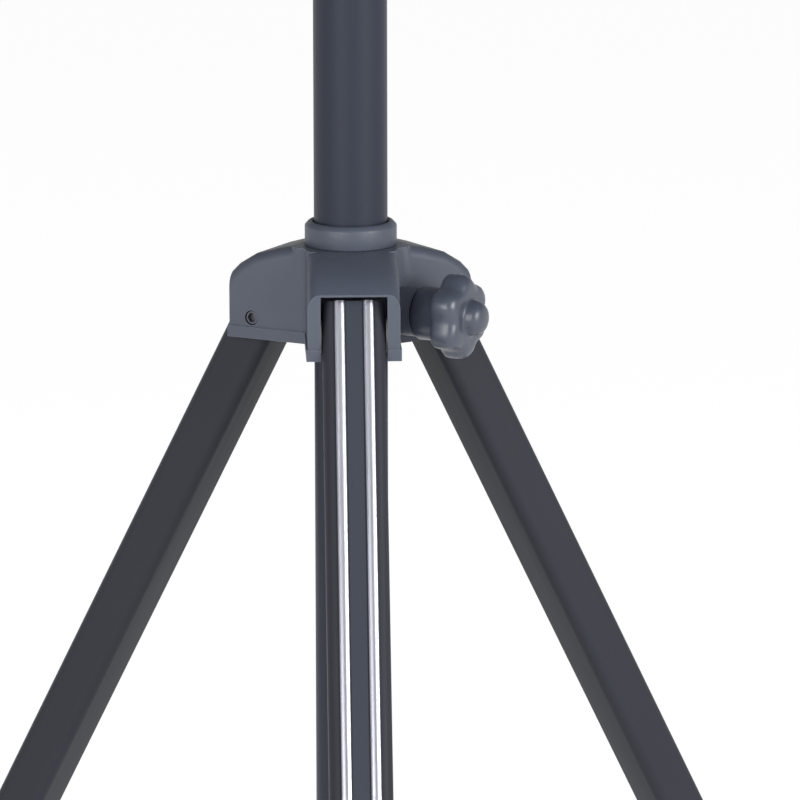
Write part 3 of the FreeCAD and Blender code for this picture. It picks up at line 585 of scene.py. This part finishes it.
@dataclass
class Hub:
    """The die casting that holds the column, the collar on it and the leg pivots."""

    edge: float = 0.5
    collar_radius: float = 15.25
    collar_bore: float = 12.6
    collar_height: float = 8.0
    collar_bevel: float = 1.5
    collar_round: float = 0.5
    spigot_radius: float = 14.65
    spigot_depth: float = 8.0
    pin_radius: float = 2.5
    pin_length: float = 29.2
    pin_ease: float = 0.35
    pin_steps: int = 24
    socket: float = 1.5
    socket_depth: float = 1.6
    socket_sides: int = 6

    def build(self) -> None:
        """Make every piece of the hub."""
        self.casting()
        self.collar()
        for side in Side:
            self.pin(side)
            coat("pivot_washers_" + side.value, NYLON)
        coat("column_bushing", NYLON)

    def casting(self) -> None:
        """The forked casting."""
        fitted(refined("hub_casting", "hub", [CASTING], self.edge), "hub", Slot.CASTING, "hub")

    def collar(self) -> None:
        """The ring round the column, with a soft bevel and an eased foot."""
        bevel = self.collar_radius - self.collar_bevel
        shoulder = self.collar_height - self.collar_bevel
        ease = self.collar_round
        profile = [
            (self.collar_bore, -self.spigot_depth),
            (self.spigot_radius, -self.spigot_depth),
            (self.spigot_radius, 0.0),
            (self.collar_radius - ease, 0.0),
            (self.collar_radius - ease * 0.3, ease * 0.3),
            (self.collar_radius, ease),
            (self.collar_radius, shoulder - ease * 0.6),
            (self.collar_radius - ease * 0.2, shoulder + ease * 0.2),
            (bevel + ease * 0.7, self.collar_height - ease * 0.5),
            (bevel - ease * 0.3, self.collar_height),
            (self.collar_bore + ease, self.collar_height),
            (self.collar_bore, self.collar_height - ease),
        ]
        place = upright(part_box("column_collar")[1].z - self.collar_height * MM)
        ring = lathe("collar_ring", profile, place, CASTING, steps=128, ring=True, sharp=50)
        fitted(ring, "hub", Slot.CASTING, "column_collar")

    def pin(self, side: Side) -> None:
        """A pivot pin with a hexagon socket in each end.

        Args:
            side: The leg that turns on it.
        """
        fold = joint("leg_fold_" + side.value)
        across = Vector(fold["axis"]).normalized()
        place = placed(Vector(fold["pos_m"]), Vector((0, 0, 1)), across)
        half = self.pin_length / 2
        ring = self.pin_steps
        levels = [
            (self.socket, half - self.socket_depth, self.socket_sides),
            (self.socket, half, self.socket_sides),
            (self.pin_radius - self.pin_ease, half, ring),
            (self.pin_radius, half - self.pin_ease, ring),
        ]
        levels += [(radius, -height, sides) for radius, height, sides in reversed(levels)]
        points = []
        for radius, height, sides in levels:
            half_side = math.pi / sides
            for step in range(ring):
                angle = 2 * math.pi * step / ring
                reach = radius / math.cos((angle + half_side) % (2 * half_side) - half_side)
                points.append((reach * math.cos(angle), reach * math.sin(angle), height))
        faces = [(row * ring + step, row * ring + (step + 1) % ring,
                  (row + 1) * ring + (step + 1) % ring, (row + 1) * ring + step)
                 for row in range(len(levels) - 1) for step in range(ring)]
        faces += [tuple(range(ring)), tuple(range(len(points) - ring, len(points)))]
        pin = solid("pivot_pin_socketed_" + side.value, points, faces, place, [BLACK_OXIDE],
                    sharp=30)
        fitted(pin, "hub", Slot.DARK_STEEL, "pivot_pin_" + side.value)


@dataclass
class ClampScrew:
    """The knob that clamps the column, its screw and the shoe."""

    valley: float = 2.0
    valley_sharpness: float = 1.25
    lobes: int = 6
    start: float = 35.6
    steps: int = 144

    # Radius at a lobe, height from the knob's back, and how far the lobes show there.
    profile: tuple[tuple[float, float, float], ...] = (
        (3.0, -9.0, 0.0), (8.3, -9.0, 0.0), (8.8, -8.5, 0.0), (8.8, -4.0, 0.0),
        (8.8, -0.6, 0.0), (8.9, -0.3, 0.0), (9.6, 0.0, 0.4), (12.0, 0.05, 1.0),
        (13.2, 0.35, 1.0), (13.85, 1.0, 1.0), (14.1, 2.1, 1.0), (14.1, 5.0, 1.0),
        (13.9, 6.5, 1.0), (13.3, 7.8, 1.0), (12.2, 8.8, 0.95), (10.8, 9.3, 0.8),
        (9.0, 9.4, 0.5), (7.2, 9.3, 0.2), (6.2, 9.4, 0.05), (5.8, 9.9, 0.0),
        (5.6, 10.8, 0.0), (5.45, 11.8, 0.0), (5.0, 12.9, 0.0), (4.1, 13.8, 0.0),
        (2.7, 14.4, 0.0), (0.0, 14.6, 0.0),
    )

    def build(self) -> None:
        """Make the knob and dress the screw."""
        turn = joint("clamp_turn")
        height = turn["pos_m"][2]
        place = placed(Vector((0, 0, height)), Vector((0, 0, 1)), Vector(turn["axis"]).normalized())
        points = []
        for reach, along, share in self.profile:
            for step in range(self.steps):
                angle = 2 * math.pi * step / self.steps
                dip = (0.5 - 0.5 * math.cos(self.lobes * angle)) ** self.valley_sharpness
                radius = reach - share * self.valley * dip
                points.append((radius * math.cos(angle), radius * math.sin(angle),
                               self.start + along))
        faces = [(row * self.steps + step, row * self.steps + (step + 1) % self.steps,
                  (row + 1) * self.steps + (step + 1) % self.steps,
                  (row + 1) * self.steps + step)
                 for row in range(len(self.profile) - 1) for step in range(self.steps)]
        faces.append(tuple(range(self.steps)))
        knob = solid("clamp_knob_lobed", points, faces, place, [KNOB_NYLON], sharp=60)
        fitted(knob, "clamp_knob", Slot.KNOB, "clamp_knob")
        coat("clamp_stud", ZINC_PLATE)
        coat("clamp_shoe", NYLON)


@dataclass
class Column:
    """The centre column with its two caps."""

    radius: float = 12.2
    wall: float = 1.5
    length: float = 440.0
    ease: float = 0.35
    cap_radius: float = 14.5
    cap_thickness: float = 5.0
    cap_spigot: float = 15.0
    cap_ribs: int = 48
    cap_rib_depth: float = 0.35
    cap_rib_band: float = 0.2
    cap_edge: float = 1.4
    cap_ease: float = 0.5
    cap_lip: float = 0.4
    cap_land: float = 1.1
    spigot_gap: float = 0.05
    thread_radius: float = 2.55
    thread_depth: float = 12.0
    thread_pitch: float = 1.27
    thread_root: float = 0.35
    thread_lead: float = 0.8
    thread_flare: float = 0.9
    flange: float = 4.0
    flange_ease: float = 0.3
    flange_bevel: float = 1.0
    stud_radius: float = 4.76
    stud_length: float = 15.6
    stud_pitch: float = 1.5
    stud_root: float = 0.55
    stud_lead: float = 1.2
    stud_tip: float = 1.0

    def build(self) -> None:
        """Make the tube and its caps."""
        self.tube()
        self.lower_cap()
        self.upper_cap()

    def tube(self) -> None:
        """The drawn tube, its ends eased."""
        inner = self.radius - self.wall
        profile = [
            (inner, 0.0),
            (self.radius - self.ease, 0.0),
            (self.radius, self.ease),
            (self.radius, self.length - self.ease),
            (self.radius - self.ease, self.length),
            (inner, self.length),
        ]
        place = upright(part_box("column_tube")[0].z)
        tube = lathe("column_tube_drawn", profile, place, DARK_TUBE, steps=160, ring=True)
        fitted(tube, "column", Slot.COLUMN, "column_tube")

    def lower_cap(self) -> None:
        """The ribbed end cap with its threaded accessory hole."""
        spigot = self.radius - self.wall - self.spigot_gap
        rim = [
            (self.cap_radius - self.cap_edge, -self.cap_thickness),
            (self.cap_radius - self.cap_ease, self.cap_lip - self.cap_thickness),
            (self.cap_radius, self.cap_land - self.cap_thickness),
            (self.cap_radius, -self.cap_land),
            (self.cap_radius - self.cap_ease, -self.cap_lip),
            (self.cap_radius - self.cap_edge, 0.0),
        ]
        hole = threaded(self.thread_radius, self.thread_depth - self.cap_thickness,
                        self.thread_lead - self.cap_thickness, self.thread_pitch,
                        -self.thread_root)
        profile = [(0.0, self.thread_depth - self.cap_thickness)] + hole
        profile += [(self.thread_radius + self.thread_flare, -self.cap_thickness)]
        profile += rim + [(spigot, 0.0), (spigot, self.cap_spigot), (0.0, self.cap_spigot)]
        place = upright(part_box("column_tube")[0].z)
        cap = lathe("column_end_cap_ribbed", profile, place, MOULDED,
                    steps=4 * self.cap_ribs, sharp=40)
        for vertex in cap.data.vertices:
            reach = vertex.co.xy.length
            if reach > (self.cap_radius - self.cap_rib_band) * MM:
                angle = math.atan2(vertex.co.y, vertex.co.x)
                dip = self.cap_rib_depth * MM * (0.5 + 0.5 * math.cos(self.cap_ribs * angle))
                vertex.co.xy *= (reach - dip) / reach
        fitted(cap, "column", Slot.MOULDED, "column_end_cap")

    def upper_cap(self) -> None:
        """The turned cap whose threaded stud carries the rest."""
        spigot = self.radius - self.wall - self.spigot_gap
        top = self.flange + self.stud_length
        profile = [
            (0.0, -self.cap_spigot),
            (spigot, -self.cap_spigot),
            (spigot, 0.0),
            (self.radius - self.flange_ease, 0.0),
            (self.radius, self.flange_ease),
            (self.radius, self.flange - self.flange_bevel),
            (self.radius - self.flange_ease, self.flange - self.flange_ease),
            (self.radius - self.flange_bevel, self.flange),
            (self.stud_radius, self.flange),
        ]
        profile += threaded(self.stud_radius, self.flange + self.stud_lead, top - self.stud_lead,
                            self.stud_pitch, self.stud_root)
        profile += [(self.stud_radius - self.stud_tip, top), (0.0, top)]
        place = upright(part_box("column_tube")[1].z)
        cap = lathe("column_top_cap_turned", profile, place, ZINC_PLATE, sharp=40)
        fitted(cap, "column", Slot.ZINC, "column_top_cap")


@dataclass
class Rest:
    """The swivelling V with its rubber lining, nut and washer."""

    edge: float = 0.8
    nut_edge: float = 0.5
    half_width: float = 33.0
    arm: float = 5.6
    lean: float = 3.0
    floor: float = 16.0
    flare: float = 17.0
    height: float = 62.0
    base: float = 9.0
    lining: float = 2.4
    lining_drop: float = 6.0
    lining_depth: float = 19.0
    ridge_pitch: float = 2.6
    ridge: float = 0.7
    ridge_step: float = 0.45

    def build(self) -> None:
        """Make every piece of the rest."""
        yoke = refined("rest_yoke_cast", "rest_yoke", [CASTING], self.edge)
        fitted(yoke, "rest", Slot.CASTING, "rest_yoke")
        self.liner()
        nut = refined("rest_nut_hex", "rest_nut", [ZINC_PLATE], self.nut_edge)
        fitted(nut, "column", Slot.ZINC, "rest_nut")
        coat("rest_washer", NYLON)

    def liner(self) -> None:
        """The rubber strip in the V, ribbed across so that a fore-end doesn't slip."""
        wall_top = self.height - self.lining_drop
        share = self.lining_drop / (self.height - self.floor - self.flare)
        corners = [
            Vector((self.base, self.floor)),
            Vector((self.half_width - self.arm - self.lean, self.floor + self.flare)),
            Vector((self.half_width - self.arm - self.lean * share, wall_top)),
        ]
        path = [Vector((-x, z)) for x, z in reversed([tuple(c) for c in corners])] + corners
        walls, faces_in = [], []
        travelled = 0.0
        for start, end in zip(path, path[1:]):
            run = end - start
            count = max(2, round(run.length / self.ridge_step))
            inward = Vector((-run.y, run.x)).normalized()
            for index in range(count):
                spot = start + run * index / count
                phase = math.pi * (travelled + run.length * index / count) / self.ridge_pitch
                height = self.lining - self.ridge * (1 - abs(math.sin(phase)))
                walls.append(spot)
                faces_in.append((spot + inward * height, index))
            travelled += run.length
        inner = [tuple(point) for point, index in faces_in if index]
        outline = [tuple(point) for point in walls] + [tuple(path[-1])]
        end_in = path[-1] + Vector((-self.lining, 0))
        outline += [tuple(end_in)] + list(reversed(inner))
        outline += [tuple(path[0] + Vector((self.lining, 0)))]
        place = placed(Vector((0, 0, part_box("rest_yoke")[0].z)), Vector((1, 0, 0)),
                       Vector((0, -1, 0)))
        strip = prism("rest_liner_ribbed", outline, -self.lining_depth / 2,
                      self.lining_depth / 2, place, [RUBBER], sharp=50)
        fitted(strip, "rest", Slot.RUBBER, "rest_liner")


@dataclass
class Leg:
    """A telescopic leg: ribbed upper tube, flip lock, lower tube and foot."""

    side: Side
    depth: float = 16.0
    width: float = 20.5
    wall: float = 1.3
    corner: float = 3.6
    rise: float = 9.0
    drop: float = 410.0
    rib_offset: float = 4.75
    pivot_inset: float = 1.4
    rib_radius: float = 2.7
    rib_proud: float = 1.0
    rib_steps: int = 20
    crown_half: float = 33.0
    crown_slack: float = 0.02
    painted_bounce_slack: float = 0.5
    tube_gap: float = 0.5
    lower_wall: float = 1.2
    lower_length: float = 380.0
    lower_drop: float = 600.0
    edge: float = 0.7
    pin_edge: float = 0.4
    lever_hinge: float = -422.5
    lever_face: tuple[Point, Point] = ((16.4, 28.0), (19.4, 37.0))
    lever_width: float = 20.4
    grip_ridges: int = 5
    grip_height: float = 0.55
    grip_margin: float = 0.9
    grip_steps: int = 12
    foot_drop: float = 606.0
    foot_radius: float = 13.0
    neck_radius: float = 11.4
    boot_height: float = 34.0
    grooves: int = 3
    groove_start: float = 6.0
    groove_pitch: float = 4.6
    neck_length: float = 18.5
    sole_top: float = 52.0
    sole_steps: int = 56
    tread: float = 0.5
    tread_start: int = 27
    tread_pitch: int = 6

    @property
    def place(self) -> Matrix:
        """The leg's frame: +X out of its face, +Z up its middle line, level with the pivot."""
        fold, slide = (joint(kind + self.side.value) for kind in ("leg_fold_", "leg_slide_"))
        up = -Vector(slide["axis"]).normalized()
        out = Vector(fold["axis"]).normalized().cross(up)
        return placed(Vector(fold["pos_m"]) + out * self.pivot_inset * MM, out, up)

    @property
    def body(self) -> str:
        """The body of the upper leg."""
        return "leg_" + self.side.value

    def build(self) -> None:
        """Make every piece of the leg."""
        name = self.side.value
        self.upper_tube()
        self.lower_tube()
        self.lock()
        self.foot()
        coat("leg_head_" + name, MOULDED)
        coat("lower_leg_glide_" + name, NYLON)
        coat("brake_pad_" + name, NYLON)

    def section(self) -> list[Point]:
        """The upper tube's outline, with a rib each side of its outer face's middle."""
        face = self.depth / 2
        centre = face + self.rib_proud - self.rib_radius
        sweep = math.degrees(math.acos((face - centre) / self.rib_radius))
        box = rounded_box(self.depth, self.width, self.corner)
        upper = [point for point in box if point[1] > 0]
        lower = [point for point in box if point[1] < 0]
        front_upper = [p for p in upper if p[0] > 0]
        back = [p for p in upper if p[0] < 0] + [p for p in lower if p[0] < 0]
        front_lower = [p for p in lower if p[0] > 0]
        ribs = []
        for across in (-self.rib_offset, self.rib_offset):
            ribs += arc((centre, across), self.rib_radius, -sweep, sweep, self.rib_steps)
        return ribs + front_upper + back + front_lower

    def upper_tube(self) -> None:
        """The dark extrusion with its two ribs cut bright along their crowns."""
        outer = self.section()
        inner_box = rounded_box(self.depth - 2 * self.wall, self.width - 2 * self.wall,
                                self.corner - self.wall)
        inner = [self.nearest(point, inner_box) for point in outer]
        tube = prism("upper_leg_ribbed_" + self.side.value, outer, -self.drop, self.rise,
                     self.place, [DARK_EXTRUSION, BRIGHT_CUT, CHANNEL_PAINTED_BOUNCE], inner, sharp=25)
        centre = self.depth / 2 + self.rib_proud - self.rib_radius
        reach = centre + self.rib_radius * math.cos(math.radians(self.crown_half))
        between = self.rib_offset - self.rib_radius + self.painted_bounce_slack
        paint(tube, 1, lambda spot: spot.x > reach - self.crown_slack)
        # The channel floor between the ribs takes the lighter copy of the anodise: painted bounce
        # light from the ribs.
        paint(tube, 2, lambda spot: spot.x > centre and abs(spot.y) < between)
        fitted(tube, self.body, Slot.UPPER_LEG, "upper_leg_" + self.side.value)

    @staticmethod
    def nearest(point: Point, outline: Sequence[Point]) -> Point:
        """The point of an outline that lies nearest to another point."""
        return min(outline, key=lambda other: math.dist(point, other))

    def lower_tube(self) -> None:
        """The silver inner tube."""
        depth = self.depth - 2 * self.wall - 2 * self.tube_gap
        width = self.width - 2 * self.wall - 2 * self.tube_gap
        corner = self.corner - self.wall - self.tube_gap
        outer = rounded_box(depth, width, corner)
        inner = rounded_box(depth - 2 * self.lower_wall, width - 2 * self.lower_wall, corner / 2)
        tube = prism("lower_leg_tube_" + self.side.value, outer, -self.lower_drop,
                     self.lower_length - self.lower_drop, self.place, [SILVER_EXTRUSION],
                     inner, sharp=30)
        fitted(tube, "lower_" + self.body, Slot.LOWER_LEG, "lower_leg_" + self.side.value)

    def lock(self) -> None:
        """The lock's housing, pin and lever, with finger ridges on the lever."""
        name = self.side.value
        housing = refined("lock_housing_moulded_" + name, "lock_housing_" + name,
                          [MOULDED], self.edge)
        fitted(housing, self.body, Slot.MOULDED, "lock_housing_" + name)
        pin = refined("lock_pin_riveted_" + name, "lock_lever_pin_" + name, [ZINC_PLATE],
                      self.pin_edge)
        fitted(pin, self.body, Slot.ZINC, "lock_lever_pin_" + name)
        lever = refined("lock_lever_moulded_" + name, "lock_lever_" + name, [MOULDED], self.edge)
        fitted(lever, "lock_lever_" + name, Slot.MOULDED, "lock_lever_" + name)
        fitted(self.grip(), "lock_lever_" + name, Slot.MOULDED)

    def grip(self) -> bpy.types.Object:
        """The finger ridges across the lever's flared tip."""
        low, high = (Vector((x, self.lever_hinge + z)) for x, z in self.lever_face)
        along = (high - low).normalized()
        out = Vector((along.y, -along.x))
        run = (high - low).length - 2 * self.grip_margin
        steps = self.grip_steps * self.grip_ridges
        start = low + along * self.grip_margin
        crest = [start + along * run * step / steps + out * self.grip_height
                 * abs(math.sin(math.pi * self.grip_ridges * step / steps))
                 for step in range(steps + 1)]
        root = [point - out * self.grip_height for point in (crest[-1], crest[0])]
        turn = self.place @ placed(Vector((0, 0, 0)), Vector((1, 0, 0)), Vector((0, -1, 0)))
        half = self.lever_width / 2 - self.grip_margin
        return prism("lever_grip_ridged_" + self.side.value,
                     [tuple(point) for point in crest + root], -half, half, turn, [MOULDED],
                     sharp=50)

    def foot(self) -> None:
        """The rubber boot: a grooved neck over a round sole with tread rings."""
        top = self.boot_height - self.foot_drop
        profile = [(0.0, top), (self.neck_radius - 1.6, top), (self.neck_radius - 0.5, top - 0.4),
                   (self.neck_radius, top - 1.5)]
        for groove in range(self.grooves):
            level = top - self.groove_start - self.groove_pitch * groove
            for depth, offset in ((0.0, 1.1), (0.9, 0.5), (0.9, -0.5), (0.0, -1.1)):
                profile.append((self.neck_radius - depth, level + offset))
        sole = arc((0.0, -self.foot_drop), self.foot_radius, self.sole_top, -90,
                   self.sole_steps)
        profile += [(self.neck_radius, top - self.neck_length),
                    (self.neck_radius - 0.2, self.foot_radius * 0.95 - self.foot_drop)]
        for index, (radius, level) in enumerate(sole):
            grooved = (index >= self.tread_start and index % self.tread_pitch in (2, 3)
                       and radius > 1.0)
            share = 1 - self.tread / self.foot_radius if grooved else 1.0
            profile.append((max(radius, 0.0) * share,
                            (level + self.foot_drop) * share - self.foot_drop))
        boot = lathe("rubber_foot_boot_" + self.side.value, profile, self.place, RUBBER,
                     steps=72, sharp=45)
        fitted(boot, "lower_" + self.body, Slot.RUBBER, "rubber_foot_" + self.side.value)


# ------------------------------------------------------------------------ the studio

@dataclass(frozen=True)
class Softbox:
    """A soft light: where it stands round the hub, its size and its strength."""

    name: str
    azimuth: float
    elevation: float
    distance: float
    width: float
    height: float
    watts: float


@dataclass
class Studio:
    """A pale floor, soft lights and the camera."""

    floor_radius: float = 24.0
    floor_steps: int = 96
    floor_colour: str = "#8c8c8c"
    floor_glow: float = 0.9
    sky: str = "#ffffff"
    sky_low: float = 0.85
    sky_high: float = 0.16
    band_top: float = 6.0
    room_start: float = 28.0
    azimuth: float = -1.94
    elevation: float = 12.0
    roll: float = -0.10
    distance: float = 2.18
    lens: float = 295.5
    sensor: float = 36.0
    aim_right: float = 16.2
    aim_up: float = -20.5
    boxes: tuple[Softbox, ...] = (
        Softbox("key_softbox", 48.0, 18.0, 2.4, 1.3, 1.1, 56.0),
        Softbox("fill_softbox", -30.0, 14.0, 2.6, 1.6, 1.2, 46.0),
        Softbox("crown_softbox", 0.0, 46.0, 2.4, 1.8, 0.9, 2.3),
    )

    def build(self) -> None:
        """Make the whole studio."""
        bpy.context.scene.view_settings.view_transform = "Standard"
        hub_low, hub_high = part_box("hub")
        centre = Vector((0, 0, (hub_low.z + hub_high.z) / 2))
        self.floor()
        self.surroundings()
        for box in self.boxes:
            self.light(box, centre)
        self.camera(Vector((0, 0, hub_low.z)))

    def floor(self) -> None:
        """A pale seamless floor that glows a little, as a lit studio sweep does."""
        steps = self.floor_steps
        points = [(0, 0, 0)] + [(x, y, 0) for x, y in
                                arc((0, 0), self.floor_radius / MM, 0, 360, steps)[:-1]]
        faces = [(0, 1 + step, 1 + (step + 1) % steps) for step in range(steps)]
        paper = bpy.data.materials.new("matt_white_studio_paper")
        paper.use_nodes = True
        tree = paper.node_tree
        tree.nodes.clear()
        fibre = add_node(tree, "ShaderNodeTexNoise", {"Scale": 900.0, "Detail": 2.0})
        bump = add_node(tree, "ShaderNodeBump", {"Strength": 0.1, "Distance": 0.2 * MM},
                        {"Height": fibre.outputs["Fac"]})
        shader = add_node(tree, "ShaderNodeBsdfPrincipled", {
            "Base Color": linear(self.floor_colour),
            "Roughness": 0.9,
            "Specular IOR Level": 0.1,
            "Emission Color": linear("#ffffff"),
            "Emission Strength": self.floor_glow,
        }, {"Normal": bump.outputs["Normal"]})
        add_node(tree, "ShaderNodeOutputMaterial", None, {"Surface": shader.outputs["BSDF"]})
        mesh = bpy.data.meshes.new("studio_floor")
        mesh.from_pydata([Vector(point) * MM for point in points], [], faces)
        mesh.materials.append(paper)
        floor = bpy.data.objects.new("studio_floor", mesh)
        bpy.context.scene.collection.objects.link(floor)

    def surroundings(self) -> None:
        """A white band round the horizon, and a dimmer room above it."""
        world = bpy.data.worlds.new("studio_room")
        bpy.context.scene.world = world
        world.use_nodes = True
        tree = world.node_tree
        tree.nodes.clear()
        direction = add_node(tree, "ShaderNodeTexCoord")
        parts = add_node(tree, "ShaderNodeSeparateXYZ", None,
                         {"Vector": direction.outputs["Generated"]})
        level = add_node(tree, "ShaderNodeMapRange", {
            "interpolation_type": "SMOOTHSTEP",
            "From Min": math.sin(math.radians(self.band_top)),
            "From Max": math.sin(math.radians(self.room_start)),
            "To Min": self.sky_low,
            "To Max": self.sky_high,
        }, {"Value": parts.outputs["Z"]})
        glow = add_node(tree, "ShaderNodeBackground", {"Color": linear(self.sky)},
                        {"Strength": level.outputs["Result"]})
        add_node(tree, "ShaderNodeOutputWorld", None, {"Surface": glow.outputs["Background"]})

    def light(self, box: Softbox, centre: Vector) -> None:
        """Put up a softbox.

        Args:
            box: Its place, size and strength.
            centre: What it points at, in metres.
        """
        lamp = bpy.data.lights.new(box.name, "AREA")
        lamp.shape = "RECTANGLE"
        lamp.size, lamp.size_y = box.width, box.height
        lamp.energy = box.watts
        back = direction_from(self.azimuth + box.azimuth, box.elevation)
        stand = bpy.data.objects.new(box.name, lamp)
        bpy.context.scene.collection.objects.link(stand)
        stand.location = centre + back * box.distance
        stand.rotation_mode = "QUATERNION"
        stand.rotation_quaternion = (-back).to_track_quat("-Z", "Y")

    def camera(self, hub_foot: Vector) -> None:
        """Set the camera up in front of the hub.

        Args:
            hub_foot: The middle of the hub's underside, in metres.
        """
        lens = bpy.data.cameras.new("camera")
        lens.lens = self.lens
        lens.sensor_width = self.sensor
        lens.clip_start, lens.clip_end = 0.05, 100.0
        camera = bpy.data.objects.new("camera", lens)
        bpy.context.scene.collection.objects.link(camera)
        back = direction_from(self.azimuth, self.elevation)
        turn = (-back).to_track_quat("-Z", "Y").to_matrix()
        right, up = turn.col[0], turn.col[1]
        aim = hub_foot + right * self.aim_right * MM + up * self.aim_up * MM
        rolled = turn @ Matrix.Rotation(math.radians(self.roll), 3, "Z")
        camera.matrix_world = Matrix.Translation(aim + back * self.distance) @ rolled.to_4x4()
        bpy.context.scene.camera = camera


def direction_from(azimuth: float, elevation: float) -> Vector:
    """The direction from the stand towards a viewer.

    Args:
        azimuth: Where the viewer stands, in degrees: 0 is in front, 90 is on the right.
        elevation: How high, in degrees above the horizon.

    Returns:
        A unit vector.
    """
    turn, lift = math.radians(azimuth), math.radians(elevation)
    return Vector((math.sin(turn) * math.cos(lift), -math.cos(turn) * math.cos(lift),
                   math.sin(lift)))


def main() -> None:
    """Build the studio and the stand."""
    logging.basicConfig(level=logging.INFO, format="%(message)s")
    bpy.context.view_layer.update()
    Studio().build()
    Hub().build()
    ClampScrew().build()
    Column().build()
    Rest().build()
    for side in Side:
        Leg(side).build()


if __name__ == "__main__":
    main()
